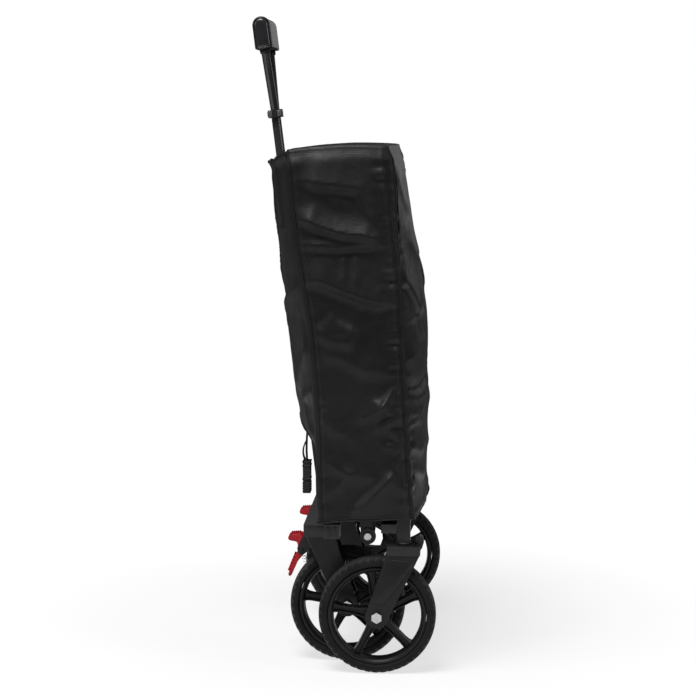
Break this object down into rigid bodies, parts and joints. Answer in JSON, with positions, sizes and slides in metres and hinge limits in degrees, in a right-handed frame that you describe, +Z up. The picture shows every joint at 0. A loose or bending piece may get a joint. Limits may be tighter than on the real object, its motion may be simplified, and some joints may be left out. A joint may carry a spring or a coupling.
{
  "type": "folding pull wagon",
  "caption": "Folding stroller wagon with a telescopic pull handle, folded and standing on its wheels under a black storage cover.",
  "frame": {"origin": "on the floor below the middle of the folded wagon's outline", "axes": "+Z up, +X towards the caster end, -X towards the pull handle and brakes, -Y the wagon's right side"},
  "size_m": [0.329, 0.5656, 1.1168],
  "materials": {
    "frame_paint": "semi-gloss black powder coat",
    "black_plastic": "fine-grained black plastic",
    "gloss_plastic": "glossy black moulded plastic",
    "grip_plastic": "satin black grip moulding",
    "tyre": "matt black rubber with fine tread",
    "bright_steel": "zinc-plated",
    "red_plastic": "satin red plastic",
    "cover_nylon": "coated black nylon with a soft sheen",
    "wagon_fabric": "black woven polyester",
    "webbing": "ribbed black webbing",
    "floor_board": "fabric-wrapped stiff board"
  },
  "bodies": {
    "rear_frame": {"rear_post_right": "frame_paint", "rear_post_left": "frame_paint", "rear_post_foot_right": "black_plastic", "rear_post_foot_left": "black_plastic", "rear_top_tube": "frame_paint", "rear_floor_tube": "frame_paint", "rear_axle_channel": "frame_paint", "rear_fork_right": "frame_paint", "rear_fork_left": "frame_paint", "rear_rail_bracket_right": "frame_paint", "rear_rail_bracket_left": "frame_paint", "axle_bolt_rear_right": "bright_steel", "axle_bolt_rear_left": "bright_steel", "rear_end_panel": "wagon_fabric", "side_fabric_right": "wagon_fabric", "side_fabric_left": "wagon_fabric"},
    "rail_rear": {"rail_rear_right": "frame_paint", "rail_rear_left": "frame_paint", "knee_bolt_right": "bright_steel", "knee_bolt_left": "bright_steel"},
    "rail_front": {"rail_front_right": "frame_paint", "rail_front_left": "frame_paint"},
    "front_frame": {"front_post_right": "frame_paint", "front_post_left": "frame_paint", "front_top_tube": "frame_paint", "front_floor_tube": "frame_paint", "front_axle_tube": "frame_paint", "front_rail_bracket_right": "frame_paint", "front_rail_bracket_left": "frame_paint", "front_end_panel": "wagon_fabric"},
    "floor_rear": {"floor_panel_rear": "floor_board"},
    "floor_front": {"floor_panel_front": "floor_board"},
    "cover": {"cover": "cover_nylon"},
    "handle": {"handle_sleeve": "frame_paint", "strap": "webbing", "buckle_socket": "black_plastic"},
    "handle_slider": {"handle_stem": "frame_paint", "handle_collar": "black_plastic", "handle_arm_right": "frame_paint", "handle_arm_left": "frame_paint", "handle_grip": "grip_plastic"},
    "handle_button": {"handle_button": "gloss_plastic"},
    "buckle_plug": {"buckle_plug": "black_plastic"},
    "caster_right": {"caster_fork_right": "gloss_plastic", "axle_bolt_front_right": "bright_steel"},
    "lock_lever_right": {"lock_lever_right": "black_plastic"},
    "wheel_front_right": {"tyre_front_right": "tyre", "rim_front_right": "gloss_plastic"},
    "wheel_rear_right": {"tyre_rear_right": "tyre", "rim_rear_right": "gloss_plastic"},
    "brake_pedal_right": {"brake_pedal_right": "red_plastic"},
    "caster_left": {"caster_fork_left": "gloss_plastic", "axle_bolt_front_left": "bright_steel"},
    "lock_lever_left": {"lock_lever_left": "black_plastic"},
    "wheel_front_left": {"tyre_front_left": "tyre", "rim_front_left": "gloss_plastic"},
    "wheel_rear_left": {"tyre_rear_left": "tyre", "rim_rear_left": "gloss_plastic"},
    "brake_pedal_left": {"brake_pedal_left": "red_plastic"}
  },
  "joints": [
    {"name": "fold", "type": "hinge", "parent": "rear_frame", "child": "rail_rear", "pos_m": [-0.0045, 0, 0.617], "axis": [0, -1, 0], "range_deg": [0, 82.3], "deforming": ["cover", "side_fabric_right", "side_fabric_left"]},
    {"name": "knee", "type": "hinge", "parent": "rail_rear", "child": "rail_front", "pos_m": [0.0475, 0, 0.231], "axis": [0, -1, 0], "range_deg": [-164.6, 0]},
    {"name": "front_rail_pivot", "type": "hinge", "parent": "rail_front", "child": "front_frame", "pos_m": [0.0995, 0, 0.617], "axis": [0, -1, 0], "range_deg": [0, 82.3]},
    {"name": "floor_hinge_rear", "type": "hinge", "parent": "rear_frame", "child": "floor_rear", "pos_m": [-0.0115, 0, 0.319], "axis": [0, 1, 0], "range_deg": [0, 82.3]},
    {"name": "floor_hinge_front", "type": "hinge", "parent": "front_frame", "child": "floor_front", "pos_m": [0.1065, 0, 0.319], "axis": [0, -1, 0], "range_deg": [0, 82.3]},
    {"name": "cover_lift", "type": "slide", "parent": "rear_frame", "child": "cover", "axis": [-0.0741, 0, 0.9973], "range_m": [0, 0.12]},
    {"name": "handle_swing", "type": "hinge", "parent": "rear_frame", "child": "handle", "pos_m": [-0.0492, 0, 0.3], "axis": [0, -1, 0], "range_deg": [0, 75]},
    {"name": "handle_slide", "type": "slide", "parent": "handle", "child": "handle_slider", "axis": [-0.1236, 0, 0.9923], "range_m": [-0.08, 0.3]},
    {"name": "handle_button_press", "type": "slide", "parent": "handle_slider", "child": "handle_button", "axis": [0.9923, 0, 0.1236], "range_m": [0, 0.0015], "stiffness_N_per_m": 400},
    {"name": "buckle_release", "type": "slide", "parent": "handle", "child": "buckle_plug", "axis": [0, 0, -1], "range_m": [0, 0.03]},
    {"name": "caster_swivel_right", "type": "hinge", "parent": "front_frame", "child": "caster_right", "pos_m": [0.1095, -0.25, 0.24], "axis": [0, 0, 1], "range_deg": [0, 180]},
    {"name": "lock_lever_right", "type": "hinge", "parent": "caster_right", "child": "lock_lever_right", "pos_m": [0.1335, -0.25, 0.216], "axis": [0, 1, 0], "range_deg": [0, 35]},
    {"name": "wheel_spin_front_right", "type": "hinge", "parent": "caster_right", "child": "wheel_front_right", "pos_m": [0.0645, -0.25, 0.1], "axis": [0, 1, 0], "continuous": true},
    {"name": "wheel_spin_rear_right", "type": "hinge", "parent": "rear_frame", "child": "wheel_rear_right", "pos_m": [0.0095, -0.168, 0.1], "axis": [0, 1, 0], "continuous": true},
    {"name": "brake_pedal_right", "type": "hinge", "parent": "rear_frame", "child": "brake_pedal_right", "pos_m": [-0.0737, -0.121, 0.1856], "axis": [0, -1, 0], "range_deg": [0, 18]},
    {"name": "caster_swivel_left", "type": "hinge", "parent": "front_frame", "child": "caster_left", "pos_m": [0.1095, 0.25, 0.24], "axis": [0, 0, -1], "range_deg": [0, 180]},
    {"name": "lock_lever_left", "type": "hinge", "parent": "caster_left", "child": "lock_lever_left", "pos_m": [0.1335, 0.25, 0.216], "axis": [0, 1, 0], "range_deg": [0, 35]},
    {"name": "wheel_spin_front_left", "type": "hinge", "parent": "caster_left", "child": "wheel_front_left", "pos_m": [0.0645, 0.25, 0.1], "axis": [0, 1, 0], "continuous": true},
    {"name": "wheel_spin_rear_left", "type": "hinge", "parent": "rear_frame", "child": "wheel_rear_left", "pos_m": [0.0095, 0.168, 0.1], "axis": [0, 1, 0], "continuous": true},
    {"name": "brake_pedal_left", "type": "hinge", "parent": "rear_frame", "child": "brake_pedal_left", "pos_m": [-0.0737, 0.121, 0.1856], "axis": [0, -1, 0], "range_deg": [0, 18]}
  ],
  "couplings": [
    {"joint": "knee", "follows": "fold", "ratio": -2},
    {"joint": "front_rail_pivot", "follows": "fold", "ratio": 1},
    {"joint": "floor_hinge_rear", "follows": "fold", "ratio": 1},
    {"joint": "floor_hinge_front", "follows": "fold", "ratio": 1}
  ]
}
